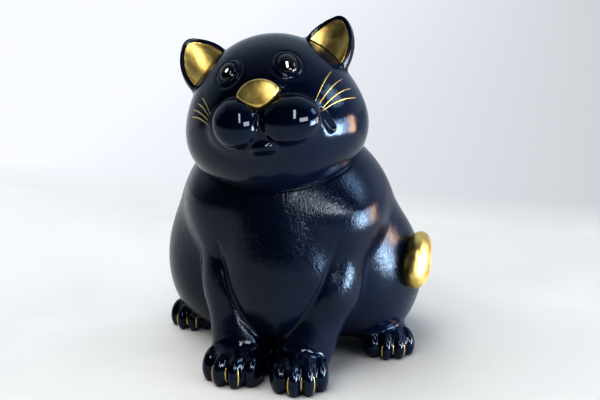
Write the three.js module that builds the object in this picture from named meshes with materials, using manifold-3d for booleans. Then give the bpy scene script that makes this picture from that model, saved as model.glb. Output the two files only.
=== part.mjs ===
// A seated, chubby ceramic cat: hollow head and body castings, applied legs, paws, ears and face pieces,
// and thin gilding. Millimetres, +Z up. The cat faces -Y, so its own left side is +X.
import * as THREE from 'three';
import { mergeVertices } from 'three/addons/utils/BufferGeometryUtils.js';
import Module from 'manifold-3d';

const wasm = await Module();
wasm.setup();

// ---------------------------------------------------------------- driving dimensions

const GAP = 0.35; // clearance kept between pieces that meet
const CURVED_GAP = 1.1; // the same where a large curve is cut with a coarser copy of its neighbour
const WALL = 5; // thickness of the cast walls
const FLOOR_WALL = 5; // thickness of the base of the body
const VENT_RADIUS = 8; // firing vent in the base
const VENT_PLACE = [0, 20];
const NECK_RADIUS = 19; // opening between the head and the body
const NECK_PLACE = [-3, 4];

// Every ellipsoid is written as its centre and its three radii.
const BODY = {
  seat: { centre: [-3, 28, 62], radii: [68, 48, 66] },
  shoulders: { centre: [0, 13, 95], radii: [53, 45, 42] },
  belly: { centre: [3.5, -1, 60], radii: [41, 41, 56] },
  shoulderBlend: 26,
  bellyBlend: 8,
  middle: [0, 18, 66],
  reach: 110,
};

// The balls that shape the left leg; the right one mirrors them, and then both move over to the left by `sway`.
const LEG = {
  shoulder: { place: [30, 0, 90], radius: 19, sway: 2.5 },
  elbow: { place: [28, -13, 50], radius: 18.5, sway: 2.5 },
  wrist: { place: [18.5, -25, 15], radius: 16.8, sway: 0 },
  bend: 12,
  middle: [28, -12, 54],
  reach: 80,
};

const HAUNCH = { centre: [49, 32, 43], radii: [28.5, 38, 40], splay: -8 };

const FRONT_SPAN = [0.1, 0.27, 0.44, 0.6]; // heights down a toe line, as shares of the paw's height
const REAR_SPAN = [0.12, 0.27, 0.42, 0.56];
const PAWS = {
  front_paw_right: { place: [-18.3, -34], yaw: -7, width: 18, length: 20, height: 22, lineSpan: FRONT_SPAN },
  front_paw_left: { place: [17.8, -36], yaw: 18, width: 17, length: 20, height: 22, lineSpan: FRONT_SPAN },
  rear_paw_right: { place: [-62, 32], yaw: -8, width: 14.5, length: 19, height: 18, lineSpan: REAR_SPAN },
  rear_paw_left: { place: [60, 19.5], yaw: 22, width: 15.5, length: 19, height: 18, lineSpan: REAR_SPAN },
};
const TOE_SIDEWAYS = [-0.7, -0.25, 0.25, 0.7]; // toe middles, as shares of the paw's width
const TOE_FORWARD = [0.36, 0.6, 0.6, 0.36]; // as shares of its length
const TOE_GROOVES = [-0.475, 0, 0.475];
const TOE_LINE_RADIUS = 0.5;

const TAIL = {
  top: { centre: [77.6, 22, 65], radii: [7, 14, 8.5] },
  bulb: { centre: [76.6, 18, 54.5], radii: [8.5, 14, 12] },
  tilt: 8,
};

// The head is modelled about its own middle and then turned: it looks up, and leans to its right.
const HEAD = {
  place: [-3, -2, 147],
  pitch: -25,
  lean: -10,
  yaw: 7,
  skull: { centre: [0, 0, 6], radii: [43, 42, 40] },
  jowls: { centre: [0, 1, -9], radii: [50.5, 43, 34.5] },
  muzzle: { centre: [0, -36, -11], radii: [29, 11, 14.5] },
  jowlBlend: 18,
  muzzleBlend: 6,
  reach: 70,
};

// The left eye is the larger one; `ring` is the radius of the raised lid round each ball.
const EYES = {
  right: { place: [-16.5, -36.6, 19.6], radii: [4.8, 3.9, 5.6], ring: 6, socket: [7.9, 4.4, 8.8] },
  left: { place: [15.5, -37.2, 19.2], radii: [5.4, 3.9, 6.3], ring: 6.6, socket: [8.6, 4.4, 9.5] },
};
const EYE_SET = { turnOut: 24, lookUp: 24, tube: 0.8, stretch: 1.14 };
const PAD_RIGHT = { centre: [-13.6, -43, -9.2], radii: [13.4, 11.5, 13.4] };
const PAD_LEFT = { centre: [14.2, -43, -11.3], radii: [16.8, 11.5, 13.1] };
const NOSE = { place: [0, -46, 4], halfWidth: 11.9, corner: 0.6, top: 7.6, drop: 8, roll: -2, bulge: [16.5, 5.5, 13] };
const LIP = { centre: [-1.4, -42, -22.5], radii: [7.5, 5.5, 3.5] };

const EAR = {
  place: [33.5, -4, 28],
  tilt: 30,
  turnOut: 14,
  halfWidth: 14.8,
  height: 24.5,
  root: 11,
  halfDepth: 5.2,
  rim: 2.3,
};
const EAR_BACK = { centre: [0, -2.5, 3], radii: [16.8, 7, 27] };
const EAR_DISH = { centre: [0, -8.8, 5], radii: [13.6, 8.4, 21] };
const LINING_THICKNESS = 1;

const WHISKER_RADIUS = 0.5;
// Roots and tips on the head, as [outward, upward] seen from the front of the face.
const WHISKERS = {
  right: [
    { root: [28, -1.5], tip: [34.5, 10] },
    { root: [29, -2.5], tip: [37.5, 7.5] },
    { root: [29.5, -4.5], tip: [41, 5] },
    { root: [30, -6.5], tip: [41.5, 1] },
  ],
  left: [
    { root: [27, -3], tip: [40, 17] },
    { root: [29, -4], tip: [44, 12] },
    { root: [30.5, -6], tip: [46, 6] },
    { root: [30.5, -7.5], tip: [47, 0.5] },
  ],
};

const COLOUR = {
  navyGlaze: { color: 0x0b1330, roughness: 0.22, metalness: 0 },
  blackGlaze: { color: 0x04050a, roughness: 0.12, metalness: 0 },
  gilding: { color: 0xc99a35, roughness: 0.3, metalness: 0.9 },
};

// ---------------------------------------------------------------- smooth shapes

const SIDES = [['right', -1], ['left', 1]];
const vector = (list) => new THREE.Vector3(...list);
const radians = THREE.MathUtils.degToRad;

/** Distance-like field of an ellipsoid: negative inside, near to the true distance by its surface. */
function ellipsoidField({ centre, radii }, turn = null) {
  const middle = vector(centre);
  const size = vector(radii);
  const unturn = turn ? turn.clone().invert() : null;
  return (point) => {
    const q = point.clone().sub(middle);
    if (unturn) q.applyMatrix4(unturn);
    q.divide(size);
    const scaled = q.length();
    const slope = q.divide(size).length() + 1e-9;
    return (scaled * (scaled - 1)) / slope;
  };
}

/** Field of a round limb that narrows from one ball to the next. */
function limbField(from, to) {
  const start = vector(from.place);
  const along = vector(to.place).sub(start);
  const length = along.lengthSq();
  return (point) => {
    const q = point.clone().sub(start);
    const share = THREE.MathUtils.clamp(q.dot(along) / length, 0, 1);
    const radius = THREE.MathUtils.lerp(from.radius, to.radius, share);
    return q.addScaledVector(along, -share).length() - radius;
  };
}

/** Joins two fields with a fillet whose size is `fillet`. */
function blend(first, second, fillet) {
  return (point) => {
    const a = first(point);
    const b = second(point);
    const overlap = Math.max(fillet - Math.abs(a - b), 0) / fillet;
    return Math.min(a, b) - (overlap * overlap * fillet) / 4;
  };
}

/** Distance from `origin` along `direction` to the place where `field` rises to `level`. */
function distanceTo(field, origin, direction, level, reach) {
  const valueAt = (distance) => field(origin.clone().addScaledVector(direction, distance)) - level;
  const step = reach / 60;
  let far = step;
  while (far < reach && valueAt(far) < 0) far += step;
  let near = far - step;
  for (let turn = 0; turn < 24; turn += 1) {
    const half = (near + far) / 2;
    if (valueAt(half) < 0) near = half;
    else far = half;
  }
  return (near + far) / 2;
}

/** A ball of triangles pushed out from `middle` until it lies on the surface of `field`. */
function surfaceGeometry(field, middle, reach, detail, grow = 0) {
  const geometry = new THREE.IcosahedronGeometry(1, detail);
  const origin = vector(middle);
  const points = geometry.getAttribute('position');
  const direction = new THREE.Vector3();
  for (let index = 0; index < points.count; index += 1) {
    direction.fromBufferAttribute(points, index).normalize();
    const distance = distanceTo(field, origin, direction, grow, reach);
    points.setXYZ(index, ...origin.clone().addScaledVector(direction, distance).toArray());
  }
  return geometry;
}

function ellipsoidGeometry({ centre, radii }, detail, grow = 0) {
  const [x, y, z] = radii.map((radius) => radius + grow);
  return new THREE.IcosahedronGeometry(1, detail).scale(x, y, z).translate(...centre);
}

const mirrored = (shape, side) => ({ ...shape, centre: [shape.centre[0] * side, shape.centre[1], shape.centre[2]] });

// ---------------------------------------------------------------- solids

/** Turns a closed three.js geometry into a solid that can be cut and joined. */
function solid(geometry) {
  const bare = geometry.clone();
  bare.deleteAttribute('normal');
  bare.deleteAttribute('uv');
  const merged = mergeVertices(bare, 1e-4);
  const mesh = new wasm.Mesh({
    numProp: 3,
    vertProperties: new Float32Array(merged.getAttribute('position').array),
    triVerts: new Uint32Array(merged.getIndex().array),
  });
  return new wasm.Manifold(mesh);
}

/** Turns a solid back into a three.js geometry. */
function geometryOf(body) {
  const mesh = body.getMesh();
  const geometry = new THREE.BufferGeometry();
  geometry.setAttribute('position', new THREE.BufferAttribute(new Float32Array(mesh.vertProperties), 3));
  geometry.setIndex(new THREE.BufferAttribute(new Uint32Array(mesh.triVerts), 1));
  geometry.computeVertexNormals();
  return geometry;
}

function cut(body, ...tools) {
  return tools.reduce((left, tool) => left.subtract(tool), body);
}

const FLOOR_BLOCK = solid(new THREE.BoxGeometry(400, 400, 100).translate(0, 0, -50));

function makeMesh(name, body, look) {
  const mesh = new THREE.Mesh(geometryOf(body), new THREE.MeshStandardMaterial(look));
  mesh.name = name;
  return mesh;
}

// ---------------------------------------------------------------- the body casting

const torsoField = blend(
  blend(ellipsoidField(BODY.seat), ellipsoidField(BODY.shoulders), BODY.shoulderBlend),
  ellipsoidField(BODY.belly),
  BODY.bellyBlend,
);

function torsoSolid(grow, detail = 7) {
  return solid(surfaceGeometry(torsoField, BODY.middle, BODY.reach, detail, grow));
}

const headPose = new THREE.Matrix4().compose(
  vector(HEAD.place),
  new THREE.Quaternion().setFromEuler(
    new THREE.Euler(radians(HEAD.pitch), radians(HEAD.lean), radians(HEAD.yaw), 'ZYX'),
  ),
  new THREE.Vector3(1, 1, 1),
);

const headField = blend(
  blend(ellipsoidField(HEAD.skull), ellipsoidField(HEAD.jowls), HEAD.jowlBlend),
  ellipsoidField(HEAD.muzzle),
  HEAD.muzzleBlend,
);

function headGeometry(grow, detail = 7) {
  return surfaceGeometry(headField, [0, 0, 0], HEAD.reach, detail, grow);
}

const headInBody = solid(headGeometry(CURVED_GAP, 5).applyMatrix4(headPose));

/** The hollow body: open at the neck, where the head sits in it, and vented through the base. */
function torsoShell() {
  const hollowCeiling = solid(new THREE.BoxGeometry(400, 400, 200).translate(0, 0, 100 + FLOOR_WALL));
  const hollow = torsoSolid(-WALL, 4).intersect(hollowCeiling);
  const vent = new THREE.CylinderGeometry(VENT_RADIUS, VENT_RADIUS, 4 * FLOOR_WALL, 16).rotateX(Math.PI / 2);
  vent.translate(...VENT_PLACE, 0);
  return cut(torsoSolid(0), FLOOR_BLOCK, headInBody, hollow, solid(vent));
}

// ---------------------------------------------------------------- legs, haunches, paws and tail

function legField(side) {
  const [shoulder, elbow, wrist] = [LEG.shoulder, LEG.elbow, LEG.wrist].map(({ place, radius, sway }) => ({
    place: [place[0] * side + sway, place[1], place[2]],
    radius,
  }));
  return blend(limbField(shoulder, elbow), limbField(elbow, wrist), LEG.bend);
}

function legSolid(side, grow) {
  const middle = [LEG.middle[0] * side, LEG.middle[1], LEG.middle[2]];
  return solid(surfaceGeometry(legField(side), middle, LEG.reach, 5, grow));
}

function haunchSolid(side, grow) {
  const shape = mirrored(HAUNCH, side);
  const turned = new THREE.IcosahedronGeometry(1, 5).scale(...shape.radii.map((radius) => radius + grow));
  turned.rotateZ(radians(HAUNCH.splay * side)).translate(...shape.centre);
  return solid(turned);
}

/** The palm and the four toes of a paw, about the paw's own place on the floor. */
function pawShapes({ width, length, height }) {
  const palm = { centre: [0, 2, height * 0.4], radii: [width * 0.97, length, height * 0.62] };
  const toes = TOE_SIDEWAYS.map((sideways, index) => ({
    centre: [sideways * width, -TOE_FORWARD[index] * length, height * 0.34],
    radii: [width * 0.29, length * 0.46, height * 0.48],
  }));
  return [palm, ...toes];
}

function pawSolid(paw, grow) {
  const [palm, ...toes] = pawShapes(paw).map((shape, index) => ellipsoidGeometry(shape, index ? 2 : 3, grow));
  const joined = toes.reduce((whole, toe) => whole.add(solid(toe)), solid(palm));
  return joined;
}

function pawPose({ place, yaw }) {
  return new THREE.Matrix4().makeRotationZ(radians(yaw)).setPosition(place[0], place[1], 0);
}

function moved(body, pose) {
  return solid(geometryOf(body).applyMatrix4(pose));
}

function tailSolid() {
  const [top, bulb] = [TAIL.top, TAIL.bulb].map(({ centre, radii }) => {
    const egg = new THREE.IcosahedronGeometry(1, 3).scale(...radii);
    return solid(egg.rotateX(radians(TAIL.tilt)).translate(...centre));
  });
  return top.add(bulb);
}

/** A thin round strip of gilding along a list of points. */
function strip(points, radius, steps) {
  const section = new THREE.Shape().absarc(0, 0, radius, 0, 2 * Math.PI);
  const path = new THREE.CatmullRomCurve3(points);
  return new THREE.ExtrudeGeometry(section, { steps, curveSegments: 3, extrudePath: path, bevelEnabled: false });
}

/** The gilded line down one groove between two toes. */
function toeLine(paw, groove) {
  const field = pawShapes(paw)
    .map((shape) => ellipsoidField(shape))
    .reduce((first, second) => (point) => Math.min(first(point), second(point)));
  const lift = TOE_LINE_RADIUS + GAP;
  const points = paw.lineSpan.map((share) => {
    const inside = new THREE.Vector3(groove * paw.width, -0.2 * paw.length, share * paw.height);
    const forward = new THREE.Vector3(0, -1, 0);
    const distance = distanceTo(field, inside, forward, lift, 2 * paw.length);
    return inside.addScaledVector(forward, distance);
  });
  return strip(points, TOE_LINE_RADIUS, 4);
}

// ---------------------------------------------------------------- the head and the face

function neckCutter() {
  const depth = HEAD.place[2];
  const tube = new THREE.CylinderGeometry(NECK_RADIUS, NECK_RADIUS, depth, 20).rotateX(Math.PI / 2);
  tube.translate(...NECK_PLACE, depth / 2);
  return solid(tube.applyMatrix4(headPose.clone().invert()));
}

/** Sets a shape made about the origin into its place as an eye, facing along the skin there. */
function setAsEye(geometry, label, side) {
  geometry.rotateX(radians(-EYE_SET.lookUp)).rotateZ(radians(EYE_SET.turnOut * side));
  return solid(geometry.translate(...EYES[label].place));
}

function eyeSolid(radii, label, side) {
  return setAsEye(new THREE.IcosahedronGeometry(1, 2).scale(...radii), label, side);
}

function eyeRimSolid(label, side) {
  const ring = new THREE.TorusGeometry(EYES[label].ring, EYE_SET.tube, 6, 16).rotateX(Math.PI / 2);
  return setAsEye(ring.scale(1, 1, EYE_SET.stretch), label, side);
}

function headShell() {
  const hollow = solid(headGeometry(-WALL, 4));
  const sockets = SIDES.map(([label, side]) => eyeSolid(EYES[label].socket, label, side));
  return cut(solid(headGeometry(0)), hollow, neckCutter(), ...sockets);
}

/** The front of the nose: a domed top edge over two rounded sides that meet in a blunt point below. */
function noseOutline() {
  const { halfWidth, corner, top, drop } = NOSE;
  const outline = new THREE.Shape();
  outline.moveTo(-halfWidth, corner);
  outline.quadraticCurveTo(0, 2 * top - corner, halfWidth, corner);
  outline.quadraticCurveTo(0.55 * halfWidth, 0.4 - drop, 0, -drop);
  outline.quadraticCurveTo(-0.55 * halfWidth, 0.4 - drop, -halfWidth, corner);
  return outline;
}

const headSkin = solid(headGeometry(CURVED_GAP, 5));

function muzzlePad(shape, side) {
  const half = new THREE.BoxGeometry(100, 100, 100).translate(-side * (50 - GAP / 2), 0, 0);
  return cut(solid(ellipsoidGeometry(shape, 3)), headSkin, solid(half));
}

function grownPads() {
  return [PAD_RIGHT, PAD_LEFT].map((shape) => solid(ellipsoidGeometry(shape, 3, GAP)));
}

function noseSolid() {
  const prism = new THREE.ExtrudeGeometry(noseOutline(), { depth: 40, bevelEnabled: false, curveSegments: 6 });
  prism.translate(0, 0, -20).rotateX(Math.PI / 2).rotateY(radians(NOSE.roll)).translate(...NOSE.place);
  const dome = solid(ellipsoidGeometry({ centre: NOSE.place, radii: NOSE.bulge }, 3));
  return cut(solid(prism).intersect(dome), headSkin, ...grownPads());
}

function lowerLip() {
  return cut(solid(ellipsoidGeometry(LIP, 2)), headSkin, ...grownPads());
}

/** The outline of an ear: two arcs that meet at the tip, down to a straight root. */
function earOutline(inset) {
  const halfWidth = EAR.halfWidth - inset;
  const height = EAR.height - inset;
  const arcRadius = (halfWidth * halfWidth + height * height) / (2 * halfWidth);
  const tipAngle = Math.asin(height / arcRadius) * 0.96;
  const rootAngle = -Math.asin(EAR.root / arcRadius);
  const outline = new THREE.Shape();
  outline.absarc(halfWidth - arcRadius, 0, arcRadius, rootAngle, tipAngle);
  outline.absarc(arcRadius - halfWidth, 0, arcRadius, Math.PI - tipAngle, Math.PI - rootAngle);
  outline.closePath();
  return outline;
}

function earPrism(inset) {
  const settings = { depth: 4 * EAR.halfDepth, bevelEnabled: false, curveSegments: 5 };
  const prism = new THREE.ExtrudeGeometry(earOutline(inset), settings);
  return solid(prism.translate(0, 0, -2 * EAR.halfDepth).rotateX(Math.PI / 2));
}

function earPose(side) {
  const turn = new THREE.Euler(0, radians(EAR.tilt * side), radians(-EAR.turnOut * side), 'YZX');
  return new THREE.Matrix4().makeRotationFromEuler(turn).setPosition(EAR.place[0] * side, ...EAR.place.slice(1));
}

function earSolids(side) {
  const back = solid(ellipsoidGeometry(EAR_BACK, 3));
  const dish = solid(ellipsoidGeometry(EAR_DISH, 3));
  const liningFront = solid(ellipsoidGeometry(EAR_DISH, 3, -GAP - LINING_THICKNESS));
  const liningBack = solid(ellipsoidGeometry(EAR_DISH, 3, -GAP));
  const ear = cut(earPrism(0).intersect(back), dish);
  const lining = cut(earPrism(EAR.rim).intersect(liningBack).intersect(back), liningFront);
  return [ear, lining].map((body) => cut(moved(body, earPose(side)), headSkin));
}

/** One whisker, bowed along the cheek from its root to its tip. */
function whisker(side, { root, tip }) {
  const lift = WHISKER_RADIUS + GAP + 0.15;
  const points = [0, 0.33, 0.67, 1].map((share) => {
    const sideways = THREE.MathUtils.lerp(root[0], tip[0], share) * side;
    const upward = THREE.MathUtils.lerp(root[1], tip[1], share) + 1.2 * Math.sin(Math.PI * share);
    const inside = new THREE.Vector3(sideways, 0, upward);
    const forward = new THREE.Vector3(0, -1, 0);
    const distance = distanceTo(headField, inside, forward, lift, HEAD.reach);
    return inside.addScaledVector(forward, distance);
  });
  return strip(points, WHISKER_RADIUS, 6);
}

// ---------------------------------------------------------------- assembly

const cat = new THREE.Group();

function addBody() {
  const torsoSkin = torsoSolid(CURVED_GAP, 5);
  cat.add(makeMesh('torso_shell', torsoShell(), COLOUR.navyGlaze));
  const grownPaws = {};
  for (const [name, paw] of Object.entries(PAWS)) {
    grownPaws[name] = moved(pawSolid(paw, GAP), pawPose(paw));
  }
  for (const [label, side] of SIDES) {
    const leg = cut(legSolid(side, 0), FLOOR_BLOCK, torsoSkin, headInBody, grownPaws[`front_paw_${label}`]);
    cat.add(makeMesh(`front_leg_${label}`, leg, COLOUR.navyGlaze));
    const tools = [FLOOR_BLOCK, torsoSkin, legSolid(side, CURVED_GAP), grownPaws[`rear_paw_${label}`]];
    cat.add(makeMesh(`haunch_${label}`, cut(haunchSolid(side, 0), ...tools), COLOUR.navyGlaze));
  }
  const tail = cut(tailSolid(), torsoSkin, haunchSolid(1, CURVED_GAP));
  cat.add(makeMesh('tail', tail, COLOUR.gilding));
}

function addPaws() {
  for (const [name, paw] of Object.entries(PAWS)) {
    const group = new THREE.Group();
    group.position.set(...paw.place, 0);
    group.rotation.z = radians(paw.yaw);
    const torsoHere = moved(torsoSolid(CURVED_GAP, 5), pawPose(paw).invert());
    group.add(makeMesh(name, cut(pawSolid(paw, 0), FLOOR_BLOCK, torsoHere), COLOUR.navyGlaze));
    TOE_GROOVES.forEach((groove, index) => {
      group.add(makeMesh(`${name}_line_${index + 1}`, solid(toeLine(paw, groove)), COLOUR.gilding));
    });
    cat.add(group);
  }
}

function addHead() {
  const head = new THREE.Group();
  head.position.set(...HEAD.place);
  head.rotation.set(radians(HEAD.pitch), radians(HEAD.lean), radians(HEAD.yaw), 'ZYX');
  head.add(makeMesh('head_shell', headShell(), COLOUR.navyGlaze));
  head.add(makeMesh('muzzle_pad_right', muzzlePad(PAD_RIGHT, -1), COLOUR.navyGlaze));
  head.add(makeMesh('muzzle_pad_left', muzzlePad(PAD_LEFT, 1), COLOUR.navyGlaze));
  head.add(makeMesh('nose', noseSolid(), COLOUR.gilding));
  head.add(makeMesh('lower_lip', lowerLip(), COLOUR.navyGlaze));
  for (const [label, side] of SIDES) {
    const [ear, lining] = earSolids(side);
    head.add(makeMesh(`ear_${label}`, ear, COLOUR.navyGlaze));
    head.add(makeMesh(`ear_lining_${label}`, lining, COLOUR.gilding));
    head.add(makeMesh(`eye_${label}`, eyeSolid(EYES[label].radii, label, side), COLOUR.blackGlaze));
    head.add(makeMesh(`eye_rim_${label}`, eyeRimSolid(label, side), COLOUR.navyGlaze));
    WHISKERS[label].forEach((line, index) => {
      head.add(makeMesh(`whisker_${label}_${index + 1}`, solid(whisker(side, line)), COLOUR.gilding));
    });
  }
  cat.add(head);
}

addBody();
addPaws();
addHead();

// The origin is under the middle of the cat, on the surface that it sits on.
const bounds = new THREE.Box3().setFromObject(cat, true);
cat.position.set(-(bounds.min.x + bounds.max.x) / 2, -(bounds.min.y + bounds.max.y) / 2, -bounds.min.z);

export default cat;
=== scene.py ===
"""A seated ceramic cat in dark glaze and gilding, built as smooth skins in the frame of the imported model."""
from math import cos, radians, sin

import bpy
import numpy as np
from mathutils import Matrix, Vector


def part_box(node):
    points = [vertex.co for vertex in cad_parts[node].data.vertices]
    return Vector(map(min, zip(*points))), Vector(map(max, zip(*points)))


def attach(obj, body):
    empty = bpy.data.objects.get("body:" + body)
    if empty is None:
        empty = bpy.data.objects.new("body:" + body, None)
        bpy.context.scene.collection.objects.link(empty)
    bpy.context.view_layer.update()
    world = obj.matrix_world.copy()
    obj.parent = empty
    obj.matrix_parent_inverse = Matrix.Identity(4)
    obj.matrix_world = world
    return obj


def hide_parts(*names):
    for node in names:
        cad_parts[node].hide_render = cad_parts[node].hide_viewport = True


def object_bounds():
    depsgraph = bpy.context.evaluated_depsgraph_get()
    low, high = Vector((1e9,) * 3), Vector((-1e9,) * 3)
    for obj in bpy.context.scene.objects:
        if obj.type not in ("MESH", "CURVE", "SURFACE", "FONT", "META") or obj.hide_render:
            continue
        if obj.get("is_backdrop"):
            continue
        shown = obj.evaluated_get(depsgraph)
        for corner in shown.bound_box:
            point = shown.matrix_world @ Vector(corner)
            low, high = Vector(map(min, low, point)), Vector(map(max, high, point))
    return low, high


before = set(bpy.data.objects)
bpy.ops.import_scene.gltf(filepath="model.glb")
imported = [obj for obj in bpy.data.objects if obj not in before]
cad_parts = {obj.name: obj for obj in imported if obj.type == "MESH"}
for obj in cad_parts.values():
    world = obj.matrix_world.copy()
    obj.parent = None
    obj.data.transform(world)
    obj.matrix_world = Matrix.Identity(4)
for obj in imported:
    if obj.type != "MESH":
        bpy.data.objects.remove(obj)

import openvdb
from mathutils import Euler, Vector

CAD_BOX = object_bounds()
MM = 0.001

# Shapes are in millimetres in the cat's own layout: the floor is Z = 0, it faces -Y, its left side is +X.
SEAT = ((-3, 28, 62), (68, 48, 66))
SHOULDERS = ((0, 13, 95), (53, 45, 42))
BELLY = ((3.5, -1, 60), (41, 41, 56))
HAUNCH = ((49, 32, 43), (28.5, 38, 40))
HAUNCH_SPLAY = -8
# How widely each part of the body runs into the parts before it.
SEAT_FILLET, HAUNCH_FILLET, BELLY_FILLET, KNEE_FILLET, PAW_FILLET = 26, 14, 8, 12, 3
# A leg meets the body in a tight crease low down, and ever more softly from LEG_SOFT_FROM up.
LEG_FILLET, LEG_EXTRA_FILLET, LEG_SOFT_FROM, LEG_SOFT_RISE = 1.6, 16, 66, 34
# Each ball of a leg: its place on the left leg, its radius, and how far both legs are set over to the left.
LEG_BALLS = (((32.5, -2, 84), 20.5, 2.5), ((26.6, -12.5, 50), 17.3, 2.5), ((18.5, -25, 15), 16.8, 0))
PAWS = {
    "front_paw_right": {"place": (-18.3, -34), "yaw": -7, "width": 18, "length": 20, "height": 22},
    "front_paw_left": {"place": (17.8, -36), "yaw": 18, "width": 17, "length": 20, "height": 22},
    "rear_paw_right": {"place": (-62, 32), "yaw": -8, "width": 14.5, "length": 19, "height": 18},
    "rear_paw_left": {"place": (60, 19.5), "yaw": 22, "width": 15.5, "length": 19, "height": 18},
}
TOE_SIDEWAYS = (-0.7, -0.25, 0.25, 0.7)
TOE_FORWARD = (0.36, 0.6, 0.6, 0.36)
TOE_GROOVES = (-0.475, 0, 0.475)
TAIL_TOP = ((77.6, 22, 65), (7, 14, 8.5))
TAIL_BULB = ((76.6, 18, 54.5), (8.5, 14, 12))
TAIL_TILT = 8

HEAD_PLACE = (-3, -2, 147)
HEAD_PITCH, HEAD_LEAN, HEAD_YAW = -25, -10, 7
SKULL = ((0, 0, 6), (43, 42, 40))
JOWLS = ((0, 1, -9), (50.5, 43, 34.5))
MUZZLE = ((0, -36, -11), (29, 11, 14.5))
JOWL_FILLET, MUZZLE_FILLET, LIP_FILLET, PADS_FILLET, EAR_FILLET, LID_FILLET = 18, 6, 2, 1.8, 2.5, 0.9
EYES = {
    "right": {"place": (-16.5, -36.6, 19.6), "radii": (5.2, 4.2, 6), "ring": 6},
    "left": {"place": (15.5, -37.2, 19.2), "radii": (5.8, 4.4, 6.7), "ring": 6.6},
}
EYE_TURN_OUT, EYE_LOOK_UP, EYE_TUBE, EYE_STRETCH = 24, 24, 0.8, 1.14
PADS = {"right": ((-13.6, -43, -9.2), (13.4, 11.5, 13.4)), "left": ((14.2, -43, -11.3), (16.8, 11.5, 13.1))}
NOSE_PLACE, NOSE_ROLL, NOSE_BULGE = (0, -46, 4), -2, (16.5, 5.5, 13)
# Outline of the nose: an arc over its top and one down each side, as a centre across and up, and a radius.
NOSE_TOP_ARC, NOSE_SIDE_ARC = ((0, -6), 13.6), ((-1.5, 6.5), 14.6)
LIP = ((-1.4, -40.6, -23.6), (7.5, 5, 3))
# Creases between the belly and the legs, as places down the surface of the body.
LEG_CREASES = (
    ((-31, -27, 76), (-29, -29, 68), (-24.5, -33, 55), (-15, -35, 35), (-3, -32, 20)),
    ((38, -22, 84), (35.5, -26, 76), (31, -31, 60), (24, -35, 46.5), (13, -37, 29), (1, -32, 19)),
)
CREASE_DEPTH, CREASE_WIDTH, CREASE_TOP, CREASE_FADE = 1.5, 1.7, 88, 26
NECK_GROOVE, NECK_GROOVE_BELOW = 0.7, 0.3  # its depth and width, and how far outside the head it is deepest
DIMPLE_RADIUS = 2.5
DIMPLE = ((31.2, -37, -8.4), (32.6, -34.6, -12.6), (34.4, -31.6, -16.6))
EAR_PLACE, EAR_TILT, EAR_TURN_OUT = (33.5, -4, 28), 30, 14
EAR_HALF_WIDTH, EAR_HEIGHT, EAR_RIM = 14.8, 24.5, 2.3
EAR_BACK = ((0, -2.5, 3), (16.8, 7, 27))
EAR_DISH = ((0, -8.8, 5), (13.6, 8.4, 21))
# The root and the tip of each whisker, as places outward from the middle of the face and up it.
WHISKERS = {
    "right": (
        ((28, -1.5), (34.5, 10)),
        ((29, -2.5), (37.5, 7.5)),
        ((29.5, -4.5), (41, 5)),
        ((30, -6.5), (41.5, 1)),
    ),
    "left": (
        ((27, -3), (40, 17)),
        ((29, -4), (44, 12)),
        ((30.5, -6), (46, 6)),
        ((30.5, -7.5), (47, 0.5)),
    ),
}
SIDES = (("right", -1), ("left", 1))
WHISKER_PLACES, TOE_LINE_PLACES = 25, 17  # how many places each painted line is laid through

CAT_PIECES = bpy.data.collections.new("cat_pieces")  # what the lights on the cat alone fall on
# And what the light on each eye alone falls on.
EYE_PIECES = {label: bpy.data.collections.new(f"eye_{label}_pieces") for label, _ in SIDES}
STAGE_PIECES = bpy.data.collections.new("stage_pieces")  # what the lights on the floor alone fall on

COARSE = 1.0


# ---------------------------------------------------------------- fields

def rotation(x=0, y=0, z=0):
    """Rz @ Ry @ Rx as a 3 by 3 array, from degrees."""
    return np.array(Euler((radians(x), radians(y), radians(z)), "XYZ").to_matrix())


def ellipsoid(shape, turn=None, side=1):
    """Distance-like field of an ellipsoid: negative inside, near the true distance at its surface."""
    centre = np.array(shape[0], float) * (side, 1, 1)
    radii = np.array(shape[1], float)

    def field(points):
        q = points - centre
        if turn is not None:
            q = q @ turn
        scaled = np.linalg.norm(q / radii, axis=1)
        slope = np.linalg.norm(q / radii**2, axis=1) + 1e-9
        return scaled * (scaled - 1) / slope

    return field


def limb(first, second):
    """Field of a round limb that narrows from one ball, a place and a radius, to the next."""
    start = np.array(first[0], float)
    along = np.array(second[0], float) - start

    def field(points):
        q = points - start
        share = np.clip(q @ along / (along @ along), 0, 1)
        radius = first[1] + (second[1] - first[1]) * share
        return np.linalg.norm(q - share[:, None] * along, axis=1) - radius

    return field


def join(a, b, fillet):
    """Smaller of two distances, with the corner between them filled."""
    overlap = np.maximum(fillet - np.abs(a - b), 0) / fillet
    return np.minimum(a, b) - overlap**2 * fillet / 4


def meet(a, b, fillet):
    """Larger of two distances, with the edge between them rounded."""
    return -join(-a, -b, fillet)


def blend(first, second, fillet):
    return lambda points: join(first(points), second(points), fillet)


def line_distance(points, path):
    """Distance from each point to a path of straight stretches."""
    path = np.array(path, float)
    nearest = np.full(len(points), 1e9)
    for start, end in zip(path[:-1], path[1:]):
        along = end - start
        share = np.clip((points - start) @ along / (along @ along), 0, 1)
        gap = np.linalg.norm(points - start - share[:, None] * along, axis=1)
        nearest = np.minimum(nearest, gap)
    return nearest


def thickened(path, steps=6):
    """A path with more places between its own, evenly spaced along each stretch."""
    path = np.array(path, float)
    shares = np.linspace(0, len(path) - 1, steps * (len(path) - 1) + 1)
    return np.stack([np.interp(shares, np.arange(len(path)), path[:, axis]) for axis in range(3)], 1)


def slope_of(field, points, step=0.15):
    """Gradient of a field by central differences."""
    slope = np.empty_like(points)
    for axis in range(3):
        offset = np.zeros(3)
        offset[axis] = step
        slope[:, axis] = (field(points + offset) - field(points - offset)) / (2 * step)
    return slope


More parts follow.
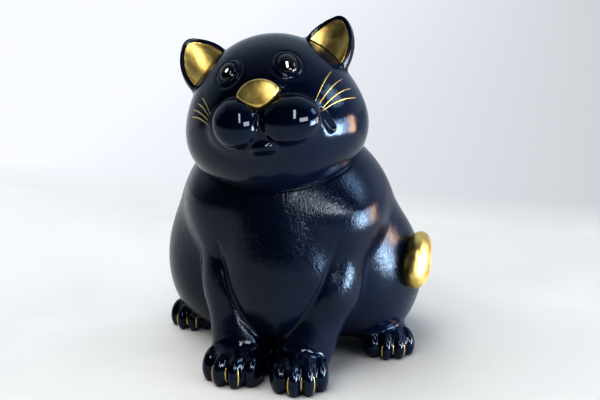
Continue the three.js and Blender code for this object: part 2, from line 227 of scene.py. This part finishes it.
def settle(field, points, rounds=3, level=0.0):
    """Moves points onto the surface where the field has that level."""
    for _ in range(rounds):
        slope = slope_of(field, points)
        size = (slope**2).sum(1) + 1e-6
        error = np.clip(field(points) - level, -1.5, 1.5)
        points = points - slope * (error / size)[:, None]
    return points


# ---------------------------------------------------------------- the cat's fields

HEAD_TURN = rotation(HEAD_PITCH, HEAD_LEAN, HEAD_YAW)


def to_head(points):
    return (points - np.array(HEAD_PLACE, float)) @ HEAD_TURN


def from_head(points):
    return np.asarray(points, float) @ HEAD_TURN.T + np.array(HEAD_PLACE, float)


skull_field = blend(blend(ellipsoid(SKULL), ellipsoid(JOWLS), JOWL_FILLET), ellipsoid(MUZZLE), MUZZLE_FILLET)


def paw_local(points, paw):
    return (points - np.array((*paw["place"], 0), float)) @ rotation(z=paw["yaw"])


def paw_field(paw, fillet=1.8):
    width, length, height = paw["width"], paw["length"], paw["height"]
    palm = ellipsoid(((0, 2, height * 0.4), (width * 0.97, length, height * 0.62)))
    toe_size = (width * 0.29, length * 0.46, height * 0.48)
    toes = [
        ellipsoid(((sideways * width, -forward * length, height * 0.34), toe_size))
        for sideways, forward in zip(TOE_SIDEWAYS, TOE_FORWARD)
    ]

    def field(points):
        q = paw_local(points, paw)
        distance = palm(q)
        for toe in toes:
            distance = join(distance, toe(q), fillet)
        return distance

    return field


def leg_field(side):
    balls = [((place[0] * side + sway, *place[1:]), radius) for place, radius, sway in LEG_BALLS]
    return blend(limb(balls[0], balls[1]), limb(balls[1], balls[2]), KNEE_FILLET)


def make_body_field():
    seat, shoulders, belly = ellipsoid(SEAT), ellipsoid(SHOULDERS), ellipsoid(BELLY)
    haunches = [ellipsoid(HAUNCH, rotation(z=HAUNCH_SPLAY * side), side) for _, side in SIDES]
    legs = [leg_field(side) for _, side in SIDES]
    paws = [paw_field(paw) for paw in PAWS.values()]

    def smooth_field(points):
        distance = join(seat(points), shoulders(points), SEAT_FILLET)
        for haunch in haunches:
            distance = join(distance, haunch(points), HAUNCH_FILLET)
        distance = join(distance, belly(points), BELLY_FILLET)
        height = np.clip((points[:, 2] - LEG_SOFT_FROM) / LEG_SOFT_RISE, 0, 1)
        for leg in legs:
            distance = join(distance, leg(points), LEG_FILLET + LEG_EXTRA_FILLET * height)
        for paw in paws:
            distance = join(distance, paw(points), PAW_FILLET)
        return distance

    creases = [settle(smooth_field, thickened(path), 8) for path in LEG_CREASES]

    def field(points):
        distance = smooth_field(points)
        depth = CREASE_DEPTH * np.clip((CREASE_TOP - points[:, 2]) / CREASE_FADE, 0, 1)
        for crease in creases:
            distance = distance + depth * np.exp(-(line_distance(points, crease) / CREASE_WIDTH) ** 2)
        above = skull_field(to_head(points))
        groove = NECK_GROOVE * np.exp(-((above - NECK_GROOVE_BELOW) / NECK_GROOVE) ** 2)
        distance = meet(distance + groove, -2 - above, 1)
        return meet(distance, -points[:, 2], 0.6)

    return field


def eye_local(q, label, side):
    """Head points as seen from an eye: across the lid, out of the skin, and up."""
    return (q - np.array(EYES[label]["place"])) @ rotation(-EYE_LOOK_UP, 0, EYE_TURN_OUT * side)


def ear_local(q, side):
    """Head points as seen from an ear: across it, back through it, and up to its tip."""
    outward = (q - np.array(EAR_PLACE) * (side, 1, 1)) * (side, 1, 1)
    return outward @ rotation(y=EAR_TILT) @ rotation(z=-EAR_TURN_OUT)


def ear_arch(e, inset):
    """Two arcs that meet at the ear's tip."""
    half_width, height = EAR_HALF_WIDTH - inset, EAR_HEIGHT - inset
    arc = (half_width**2 + height**2) / (2 * half_width)
    sides = [np.hypot(e[:, 0] - way * (arc - half_width), e[:, 2]) - arc for way in (-1, 1)]
    return meet(sides[0], sides[1], 4)


ear_back, ear_dish = ellipsoid(EAR_BACK), ellipsoid(EAR_DISH)


def ear_shape(e):
    outer = meet(ear_arch(e, 0), ear_back(e), 2.5)
    return meet(outer, -ear_dish(e), 1.4)


def lid_shape(e, ring):
    """Distance to the raised ring round an eye, and how near a point is to the crease outside it."""
    across = np.hypot(e[:, 0], e[:, 2] / EYE_STRETCH) - ring
    crease = np.exp(-((across - 1.9) / 0.7) ** 2) * np.clip(4 - np.abs(e[:, 1]), 0, 1)
    return np.hypot(across, e[:, 1]) - EYE_TUBE, crease


def pads_shape(q):
    return join(ellipsoid(PADS["right"])(q), ellipsoid(PADS["left"])(q), 1.2)


def head_shape(q):
    distance = skull_field(q)
    distance = join(distance, ellipsoid(LIP)(q), LIP_FILLET)
    distance = join(distance, pads_shape(q), PADS_FILLET)
    for label, side in SIDES:
        distance = join(distance, ear_shape(ear_local(q, side)), EAR_FILLET)
        ring, crease = lid_shape(eye_local(q, label, side), EYES[label]["ring"])
        distance = join(distance, ring, LID_FILLET) + 0.4 * crease
    return meet(distance, DIMPLE_RADIUS - line_distance(q, DIMPLE), 1.2)


def head_field(points):
    return head_shape(to_head(points))


# ---------------------------------------------------------------- meshes

def layout_shift():
    """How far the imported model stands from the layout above: both hold the same body casting."""
    low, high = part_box("torso_shell")
    front, back = BELLY[0][1] - BELLY[1][1], SEAT[0][1] + SEAT[1][1]
    sideways = (low.x + high.x) / 2 - SEAT[0][0] * MM
    forward = (low.y + high.y) / 2 - (front + back) / 2 * MM
    return Vector((sideways, forward, 0))


SHIFT = layout_shift()


def make_object(name, points, faces, material, slot, *nodes):
    """A smooth-shaded piece from points in the cat's layout, riding on the model in place of CAD nodes."""
    mesh = bpy.data.meshes.new(name)
    placed = np.asarray(points, float) * MM + np.array(SHIFT)
    mesh.from_pydata(placed.tolist(), [], [list(face) for face in faces])
    mesh.polygons.foreach_set("use_smooth", [True] * len(mesh.polygons))
    mesh.materials.append(material)
    mesh.update()
    piece = bpy.data.objects.new(name, mesh)
    bpy.context.scene.collection.objects.link(piece)
    CAT_PIECES.objects.link(piece)
    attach(piece, "root")
    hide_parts(*nodes)
    return piece


def skin(field, low, high, step):
    """Points and faces of the surface where a field is zero, on a grid fine only near that surface."""
    step = step * COARSE
    low = np.array(low, float)
    cells = np.ceil((np.array(high, float) - low) / (4 * step)).astype(int)

    def grid(counts, size):
        axes = [low[axis] + (np.arange(counts[axis]) + 0.5) * size for axis in range(3)]
        return np.stack(np.meshgrid(*axes, indexing="ij"), -1)

    rough = field(grid(cells, 4 * step).reshape(-1, 3)).reshape(cells)
    values = rough.repeat(4, 0).repeat(4, 1).repeat(4, 2)
    near = np.abs(values) < 8 * step
    values[near] = field(grid(cells * 4, step)[near])
    volume = openvdb.FloatGrid()
    volume.copyFromArray(values.astype(np.float32))
    points, faces = volume.convertToQuads(isovalue=0.0)
    points = low + (points.astype(float) + 0.5) * step
    return settle(field, points), faces


def set_brush(piece, brush):
    """Stores how strongly the glaze shows its brush strokes at each point of a piece."""
    layer = piece.data.attributes.new("brush", "FLOAT", "POINT")
    layer.data.foreach_set("value", brush.astype(np.float32))


def make_body(body_field, material):
    points, faces = skin(body_field, (-84, -66, -3), (84, 84, 142), 1.1)
    nodes = ["torso_shell"]
    nodes += [f"{part}_{label}" for part in ("front_leg", "haunch") for label, _ in SIDES]
    nodes += list(PAWS)
    body = make_object("glazed_body", points, faces, material, "navy_glaze", *nodes)
    paws = np.min([paw_field(paw)(points) for paw in PAWS.values()], axis=0)
    set_brush(body, np.clip(paws / 5, 0, 1))


def make_head(material):
    points, faces = skin(head_field, (-60, -66, 98), (58, 50, 208), 0.85)
    nodes = ["head_shell", "lower_lip"]
    nodes += [f"{part}_{label}" for part in ("ear", "eye_rim", "muzzle_pad") for label, _ in SIDES]
    head = make_object("glazed_head", points, faces, material, "navy_glaze", *nodes)
    set_brush(head, 0.45 * np.clip(pads_shape(to_head(points)) / 3, 0, 1))


def around(local_low, local_high):
    """The layout's box around a box in the head's own frame."""
    corners = [(x, y, z) for x in (0, 1) for y in (0, 1) for z in (0, 1)]
    pair = np.array((local_low, local_high), float)
    placed = from_head([[pair[c[axis]][axis] for axis in range(3)] for c in corners])
    return placed.min(0) - 1, placed.max(0) + 1


def make_head_piece(name, shape, reach, step, material, slot, node):
    """A small piece of the face: shape is a field in the head's frame, reach its middle and half size."""
    middle, half = np.array(reach[0], float), reach[1]
    low, high = around(middle - half, middle + half)
    points, faces = skin(lambda p: shape(to_head(p)), low, high, step)
    return make_object(name, points, faces, material, slot, node)


def nose_shape(q):
    e = (q - np.array(NOSE_PLACE)) @ rotation(y=NOSE_ROLL)
    across, up = np.abs(e[:, 0]), e[:, 2]
    arcs = (NOSE_TOP_ARC, NOSE_SIDE_ARC)
    top, below = [np.hypot(across - centre[0], up - centre[1]) - radius for centre, radius in arcs]
    return meet(meet(top, below, 1.2), ellipsoid(((0, 0, 0), NOSE_BULGE))(e), 1.8)


def make_nose(material):
    make_head_piece("nose_gilded", nose_shape, (NOSE_PLACE, 16), 0.6, material, "gilding", "nose")


def make_eyes(material):
    for label, side in SIDES:
        ball = ellipsoid(((0, 0, 0), EYES[label]["radii"]))
        shape = lambda q, label=label, side=side, ball=ball: ball(eye_local(q, label, side))
        eye = make_head_piece(f"eye_{label}_glazed", shape, (EYES[label]["place"], 8), 0.45, material,
                              "black_glaze", f"eye_{label}")
        EYE_PIECES[label].objects.link(eye)


def lining_shape(q, side):
    e = ear_local(q, side)
    sheet = np.maximum(np.abs(ear_dish(e) + 0.1) - 0.45, -e[:, 1] - 6)
    trimmed = meet(sheet, ear_arch(e, EAR_RIM), 0.5)
    return meet(trimmed, -skull_field(q) - 1.5, 0.4)


def make_linings(material):
    for label, side in SIDES:
        place = np.array(EAR_PLACE) * (side, 1, 1) + (6 * side, 0, 8)
        shape = lambda q, side=side: lining_shape(q, side)
        make_head_piece(f"ear_lining_{label}_gilded", shape, (place, 20), 0.45, material, "gilding",
                        f"ear_lining_{label}")


def tail_field(points):
    turn = rotation(x=TAIL_TILT)
    return join(ellipsoid(TAIL_TOP, turn)(points), ellipsoid(TAIL_BULB, turn)(points), 5)


def make_tail(material):
    points, faces = skin(tail_field, (62, 0, 28), (92, 42, 78), 0.8)
    make_object("tail_gilded", points, faces, material, "gilding", "tail")


def stroke(field, route, widths, height):
    """A painted line: a low ridge that follows a route over the surface of a field."""
    route = settle(field, np.array(route, float), 6)
    normal = slope_of(field, route)
    normal /= np.linalg.norm(normal, axis=1)[:, None]
    ahead = np.gradient(route, axis=0)
    across = np.cross(ahead, normal)
    across /= np.linalg.norm(across, axis=1)[:, None]
    left_half = [(-1, -0.5), (-0.85, 0.35), (-0.45, 0.85)]
    right_half = [(-across_line, up_line) for across_line, up_line in reversed(left_half)]
    section = [*left_half, (0, 1), *right_half, (0, -1)]
    points, faces = [], []
    for place, up, side, width in zip(route, normal, across, widths):
        points += [place + side * (s * width / 2) + up * (h * height * min(1, width)) for s, h in section]
    count = len(section)
    for ring in range(len(route) - 1):
        for corner in range(count):
            a, b = ring * count + corner, ring * count + (corner + 1) % count
            faces.append((a, b, b + count, a + count))
    faces.append(tuple(range(count))[::-1])
    faces.append(tuple(len(points) - count + corner for corner in range(count)))
    return points, faces


def make_whiskers(material):
    shares = np.linspace(0, 1, WHISKER_PLACES)
    for label, side in SIDES:
        for index, (root, tip) in enumerate(WHISKERS[label], 1):
            outward = (root[0] + (tip[0] - root[0]) * shares) * side
            upward = root[1] + (tip[1] - root[1]) * shares + 1.2 * np.sin(np.pi * shares)
            forward = -44 * np.sqrt(np.clip(1 - (outward / 50) ** 2, 0.02, 1))
            route = from_head(np.stack((outward, forward, upward), 1))
            widths = 0.25 + 0.6 * np.sin(np.pi * (0.12 + 0.83 * shares)) ** 0.7
            points, faces = stroke(head_field, route, widths, 0.3)
            make_object(f"whisker_{label}_{index}_gilded", points, faces, material, "gilding",
                        f"whisker_{label}_{index}")


def make_toe_lines(body_field, material):
    for name, paw in PAWS.items():
        reach = (0.6, 0.07) if name.startswith("front") else (0.56, 0.12)
        shares = np.linspace(*reach, TOE_LINE_PLACES)
        for index, groove in enumerate(TOE_GROOVES, 1):
            sideways = np.full(TOE_LINE_PLACES, groove * paw["width"])
            forward = np.full(TOE_LINE_PLACES, -0.95 * paw["length"])
            local = np.stack((sideways, forward, shares * paw["height"]), 1)
            route = local @ rotation(z=paw["yaw"]).T + np.array((*paw["place"], 0), float)
            widths = 0.3 + 0.9 * np.sin(np.pi * np.linspace(0.08, 0.92, TOE_LINE_PLACES)) ** 0.6
            points, faces = stroke(body_field, route, widths, 0.35)
            line = f"{name}_line_{index}"
            make_object(f"{line}_gilded", points, faces, material, "gilding", line)


# ---------------------------------------------------------------- materials

def new_material(name):
    material = bpy.data.materials.new(name)
    material.use_nodes = True
    nodes, links = material.node_tree.nodes, material.node_tree.links
    return material, nodes, links, nodes["Principled BSDF"]


def add_node(nodes, kind, **settings):
    node = nodes.new(kind)
    for key, value in settings.items():
        if key in node.inputs:
            node.inputs[key].default_value = value
        else:
            setattr(node, key, value)
    return node


def ramp(nodes, links, source, low, high, start=0.0, end=1.0):
    node = nodes.new("ShaderNodeValToRGB")
    links.new(source, node.inputs["Fac"])
    node.color_ramp.elements[0].position = start
    node.color_ramp.elements[1].position = end
    node.color_ramp.elements[0].color = (*low, 1)
    node.color_ramp.elements[1].color = (*high, 1)
    return node.outputs["Color"]


def span(nodes, links, source, low, high, start=0.0, end=1.0):
    node = nodes.new("ShaderNodeMapRange")
    links.new(source, node.inputs["Value"])
    for key, value in zip(("From Min", "From Max", "To Min", "To Max"), (start, end, low, high)):
        node.inputs[key].default_value = value
    return node.outputs["Result"]


def navy_glaze():
    material, nodes, links, shader = new_material("navy_glaze")
    where = nodes.new("ShaderNodeTexCoord").outputs["Object"]
    drift = add_node(nodes, "ShaderNodeTexNoise", Scale=35.0, Detail=3.0)
    links.new(where, drift.inputs["Vector"])
    deep, light = (0.0014, 0.0034, 0.011), (0.003, 0.0066, 0.020)
    colour = ramp(nodes, links, drift.outputs["Fac"], deep, light, 0.3, 0.7)
    links.new(colour, shader.inputs["Base Color"])
    stretch = add_node(nodes, "ShaderNodeMapping", Scale=(700, 700, 280))
    links.new(where, stretch.inputs["Vector"])
    strokes = add_node(nodes, "ShaderNodeTexNoise", Scale=1.0, Detail=2.0, Distortion=0.8)
    links.new(stretch.outputs["Vector"], strokes.inputs["Vector"])
    brush = add_node(nodes, "ShaderNodeAttribute", attribute_name="brush").outputs["Fac"]
    relief = add_node(nodes, "ShaderNodeMath", operation="MULTIPLY")
    links.new(strokes.outputs["Fac"], relief.inputs[0])
    links.new(brush, relief.inputs[1])
    rough = span(nodes, links, relief.outputs["Value"], 0.06, 0.26, 0.0, 0.6)
    links.new(rough, shader.inputs["Roughness"])
    bump = add_node(nodes, "ShaderNodeBump", Strength=0.6, Distance=0.0003)
    links.new(relief.outputs["Value"], bump.inputs["Height"])
    links.new(bump.outputs["Normal"], shader.inputs["Normal"])
    shader.inputs["IOR"].default_value = 1.5
    shader.inputs["Specular Tint"].default_value = (0.75, 0.87, 1.0, 1)
    return material


def black_glaze():
    material, nodes, links, shader = new_material("black_glaze")
    where = nodes.new("ShaderNodeTexCoord").outputs["Object"]
    pool = add_node(nodes, "ShaderNodeTexNoise", Scale=60.0, Detail=2.0)
    links.new(where, pool.inputs["Vector"])
    deep, light = (0.0006, 0.0008, 0.0014), (0.0012, 0.0016, 0.003)
    colour = ramp(nodes, links, pool.outputs["Fac"], deep, light, 0.3, 0.7)
    links.new(colour, shader.inputs["Base Color"])
    rough = span(nodes, links, pool.outputs["Fac"], 0.04, 0.09, 0.3, 0.7)
    links.new(rough, shader.inputs["Roughness"])
    bump = add_node(nodes, "ShaderNodeBump", Strength=0.08, Distance=0.0004)
    links.new(pool.outputs["Fac"], bump.inputs["Height"])
    links.new(bump.outputs["Normal"], shader.inputs["Normal"])
    shader.inputs["IOR"].default_value = 1.52
    return material


def gilding():
    material, nodes, links, shader = new_material("gilding")
    where = nodes.new("ShaderNodeTexCoord").outputs["Object"]
    cloud = add_node(nodes, "ShaderNodeTexNoise", Scale=160.0, Detail=4.0)
    links.new(where, cloud.inputs["Vector"])
    colour = ramp(nodes, links, cloud.outputs["Fac"], (0.58, 0.42, 0.13), (0.84, 0.66, 0.28), 0.3, 0.7)
    links.new(colour, shader.inputs["Base Color"])
    rough = span(nodes, links, cloud.outputs["Fac"], 0.3, 0.46, 0.3, 0.7)
    links.new(rough, shader.inputs["Roughness"])
    stretch = add_node(nodes, "ShaderNodeMapping", Scale=(1500, 1500, 500))
    links.new(where, stretch.inputs["Vector"])
    marks = add_node(nodes, "ShaderNodeTexNoise", Scale=1.0, Detail=2.0)
    links.new(stretch.outputs["Vector"], marks.inputs["Vector"])
    bump = add_node(nodes, "ShaderNodeBump", Strength=0.25, Distance=0.00025)
    links.new(marks.outputs["Fac"], bump.inputs["Height"])
    links.new(bump.outputs["Normal"], shader.inputs["Normal"])
    shader.inputs["Metallic"].default_value = 1.0
    return material


def cloth_and_glowing_wall():
    """White cloth near the cat, and far behind it the floor itself glows as a pale wall, with painted light
    fading across it from -X to +X.
    """
    material, nodes, links, shader = new_material("cloth_and_glowing_wall")
    where = nodes.new("ShaderNodeTexCoord").outputs["Object"]
    folds = add_node(nodes, "ShaderNodeTexNoise", Scale=7.0, Detail=4.0, Distortion=0.5)
    links.new(where, folds.inputs["Vector"])
    colour = ramp(nodes, links, folds.outputs["Fac"], (0.74, 0.735, 0.72), (0.82, 0.815, 0.80), 0.3, 0.7)
    links.new(colour, shader.inputs["Base Color"])
    shader.inputs["Roughness"].default_value = 0.9
    shader.inputs["Specular IOR Level"].default_value = 0.1
    bump = add_node(nodes, "ShaderNodeBump", Strength=0.3, Distance=0.006)
    links.new(folds.outputs["Fac"], bump.inputs["Height"])
    links.new(bump.outputs["Normal"], shader.inputs["Normal"])
    place = nodes.new("ShaderNodeSeparateXYZ")
    links.new(where, place.inputs["Vector"])
    # Painted light: past Y 0.235 m the floor is an emission, not lit cloth. It glows as a pale wall, brighter
    # towards -X and dimmer towards +X, in place of light falling across a wall.
    glowing_wall = nodes.new("ShaderNodeEmission")
    across = span(nodes, links, place.outputs["X"], 0.0, 1.0, -0.3, 0.6)
    links.new(ramp(nodes, links, across, (0.67, 0.68, 0.72), (0.31, 0.335, 0.345)), glowing_wall.inputs["Color"])
    far = span(nodes, links, place.outputs["Y"], 0.0, 1.0, 0.235, 0.30)
    mix = nodes.new("ShaderNodeMixShader")
    links.new(far, mix.inputs["Fac"])
    links.new(shader.outputs["BSDF"], mix.inputs[1])
    links.new(glowing_wall.outputs["Emission"], mix.inputs[2])
    links.new(mix.outputs["Shader"], nodes["Material Output"].inputs["Surface"])
    return material


# ---------------------------------------------------------------- camera, floor and light

CAMERA_AZIMUTH, CAMERA_HEIGHT_ANGLE, CAMERA_DISTANCE = 13, 20, 0.7
CAMERA_AIM = (6, 0, 92)


def aim(thing, place, target):
    thing.location = place
    thing.rotation_mode = "QUATERNION"
    thing.rotation_quaternion = (Vector(target) - Vector(place)).to_track_quat("-Z", "Y")


def placed_round(azimuth, height_angle, distance, target):
    """A place seen from the target at an azimuth, 0 towards -Y and 90 towards +X, and a height angle."""
    a, e = radians(azimuth), radians(height_angle)
    return Vector(target) + distance * Vector((sin(a) * cos(e), -cos(a) * cos(e), sin(e)))


TARGET = Vector(CAMERA_AIM) * MM + SHIFT


def make_camera():
    lens = bpy.data.cameras.new("camera")
    lens.sensor_width, lens.lens = 36, 73
    lens.shift_x = lens.shift_y = 8 / 600
    camera = bpy.data.objects.new("camera", lens)
    bpy.context.scene.collection.objects.link(camera)
    aim(camera, placed_round(CAMERA_AZIMUTH, CAMERA_HEIGHT_ANGLE, CAMERA_DISTANCE, TARGET), TARGET)
    bpy.context.scene.camera = camera


def make_floor():
    half = 6.0
    mesh = bpy.data.meshes.new("floor")
    corners = [(-half, -half, 0), (half, -half, 0), (half, half, 0), (-half, half, 0)]
    mesh.from_pydata(corners, [], [(0, 1, 2, 3)])
    mesh.materials.append(cloth_and_glowing_wall())
    floor = bpy.data.objects.new("floor", mesh)
    bpy.context.scene.collection.objects.link(floor)
    STAGE_PIECES.objects.link(floor)
    floor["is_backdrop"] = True


def area_light(name, azimuth, height_angle, distance, size, power, colour, lit=None):
    """A soft rectangular light that faces the cat. It falls on everything, or only on the collection `lit`,
    and then only the cat stands in its way, so it may lie below the floor."""
    light = bpy.data.lights.new(name, "AREA")
    light.shape = "RECTANGLE"
    light.size, light.size_y = size
    light.energy, light.color = power, colour
    lamp = bpy.data.objects.new(name, light)
    bpy.context.scene.collection.objects.link(lamp)
    aim(lamp, placed_round(azimuth, height_angle, distance, TARGET), TARGET)
    lamp.visible_camera = False
    if lit:
        lamp.light_linking.receiver_collection = lit
        lamp.light_linking.blocker_collection = CAT_PIECES


def make_room():
    """Light from the room itself: dim in front of the cat, pale behind it."""
    world = bpy.data.worlds.new("room")
    world.use_nodes = True
    nodes, links = world.node_tree.nodes, world.node_tree.links
    place = nodes.new("ShaderNodeSeparateXYZ")
    links.new(nodes.new("ShaderNodeTexCoord").outputs["Generated"], place.inputs["Vector"])
    behind = span(nodes, links, place.outputs["Y"], 0.0, 1.0, -0.2, 0.7)
    colour = ramp(nodes, links, behind, (0.03, 0.04, 0.06), (0.50, 0.56, 0.64))
    links.new(colour, nodes["Background"].inputs["Color"])
    bpy.context.scene.world = world


def make_lights():
    side = CAMERA_AZIMUTH
    area_light("window", side + 70, -9, 0.5, (0.36, 0.36), 2.8, (0.60, 0.80, 1.0), CAT_PIECES)
    area_light("window_middle", side + 66, -8, 0.52, (0.20, 0.22), 2.0, (0.80, 0.90, 1.0), CAT_PIECES)
    area_light("curtain", side + 95, -9, 0.5, (0.10, 0.36), 1.4, (1.0, 0.58, 0.32), CAT_PIECES)
    area_light("upper_pane", side + 86, 36, 0.6, (0.2, 0.2), 0.6, (0.60, 0.80, 1.0), CAT_PIECES)
    area_light("side_pane", side + 30, 20, 0.6, (0.26, 0.16), 1.3, (1.0, 0.92, 0.86), CAT_PIECES)
    area_light("front_pane", side + 3, 42, 1.2, (0.13, 0.75), 3.5, (1.0, 0.99, 0.95), CAT_PIECES)
    area_light("eye_light_left", 18, 54, 1.0, (0.30, 0.75), 26, (1.0, 1.0, 1.0), EYE_PIECES["left"])
    area_light("eye_light_right", -56, 52, 1.0, (0.30, 0.45), 15, (1.0, 1.0, 1.0), EYE_PIECES["right"])
    area_light("ceiling", side + 170, 70, 1.5, (2.0, 2.0), 1.7, (0.80, 0.90, 1.0))
    area_light("left_sky", side - 115, 30, 1.4, (0.9, 0.9), 0.6, (0.80, 0.90, 1.0))
    area_light("floor_window", side + 68, 38, 1.3, (0.8, 0.8), 3.0, (1.0, 1.0, 1.0), STAGE_PIECES)
    area_light("floor_fill", side - 60, 66, 1.5, (1.6, 1.6), 18.5, (1.0, 0.99, 0.96), STAGE_PIECES)


# ---------------------------------------------------------------- assembly

def build():
    navy, black, gold = navy_glaze(), black_glaze(), gilding()
    body_field = make_body_field()
    make_body(body_field, navy)
    make_head(navy)
    make_eyes(black)
    make_nose(gold)
    make_linings(gold)
    make_tail(gold)
    make_whiskers(gold)
    make_toe_lines(body_field, gold)
    make_camera()
    make_floor()
    make_lights()
    make_room()
    bpy.context.scene.view_settings.view_transform = "Standard"
    bpy.context.scene.view_settings.look = "High Contrast"


build()
boxes = {"cad": CAD_BOX, "visual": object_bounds()}
{name: [list(corner) for corner in box] for name, box in boxes.items()}
